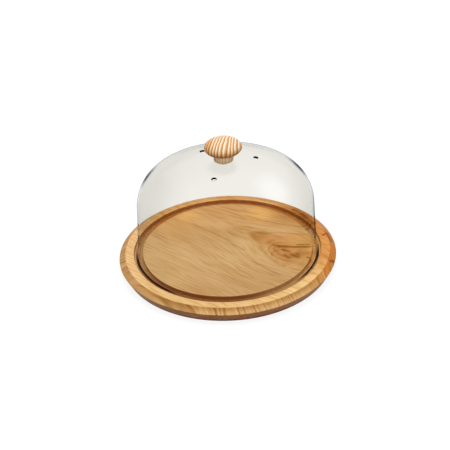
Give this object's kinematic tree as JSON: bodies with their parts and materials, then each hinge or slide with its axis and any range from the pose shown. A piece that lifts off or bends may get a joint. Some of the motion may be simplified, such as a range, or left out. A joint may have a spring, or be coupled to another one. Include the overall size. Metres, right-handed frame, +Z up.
{
  "type": "cheese dish",
  "caption": "Round bevelled wooden board with a ring groove that seats a clear lift-off dome with a turned wooden knob, for serving and covering cheese.",
  "frame": {"origin": "centre of the board's flat underside", "axes": "+Z up along the common axis of board, dome and knob; -Y is the front of the pictured view"},
  "size_m": [0.2994, 0.2994, 0.1861],
  "materials": {
    "board_wood": "satin",
    "clear_plastic": "gloss",
    "knob_wood": "satin",
    "plated_steel": "satin"
  },
  "bodies": {
    "board": {"base_board": "board_wood"},
    "lid": {"dome": "clear_plastic", "knob": "knob_wood", "knob_screw": "plated_steel", "screw_washer": "plated_steel"}
  },
  "joints": [
    {"name": "dome_lift", "type": "slide", "parent": "board", "child": "lid", "axis": [0, 0, 1], "range_m": [0, 0.16]}
  ]
}
